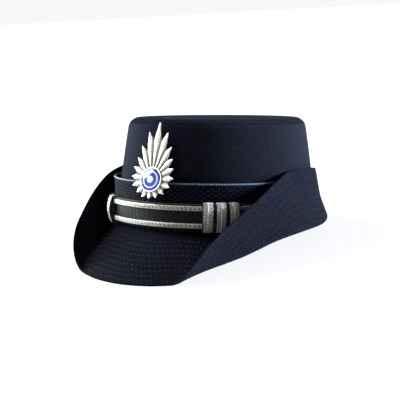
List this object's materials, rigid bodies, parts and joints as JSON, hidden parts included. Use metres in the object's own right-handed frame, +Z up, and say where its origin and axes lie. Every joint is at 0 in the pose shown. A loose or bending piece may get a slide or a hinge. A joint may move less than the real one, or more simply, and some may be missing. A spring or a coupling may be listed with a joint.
{
  "type": "police service cap",
  "caption": "Stiff cloth service cap with a flat tapered crown, a brim turned up at the sides and back into a bill in front, ribbed band with piping, braided strap and a plain sunburst badge.",
  "frame": {"origin": "bottom centre of the cap's box, on the surface it rests on", "axes": "-Y to the front, where the bill points, +X to the wearer's left, +Z up. The cap leans back 6.6 degrees about X, as it rests by itself on the bill's edge and the back of the brim."},
  "size_m": [0.1852, 0.2594, 0.1124],
  "materials": {
    "navy_cloth": "close plain-weave wool blend, matt",
    "navy_ribbed_band": "grosgrain with fine level ribs",
    "pale_blue_piping": "fine twisted cord",
    "black_strap": "fine upright ribs",
    "silver_braid": "woven metallic thread",
    "silver_metal": "struck and polished, darker in its grooves",
    "blue_enamel": "glossy domed enamel"
  },
  "bodies": {
    "root": {"crown_tip": "navy_cloth", "crown_wall": "navy_cloth", "brim": "navy_cloth", "hatband": "navy_ribbed_band", "band_piping": "pale_blue_piping", "strap": "black_strap", "strap_braid_upper": "silver_braid", "strap_braid_lower": "silver_braid", "strap_slider": "silver_braid", "rank_loop_1": "silver_braid", "rank_loop_2": "silver_braid", "rank_loop_3": "silver_braid", "badge_metal": "silver_metal", "badge_enamel": "blue_enamel"}
  },
  "joints": []
}
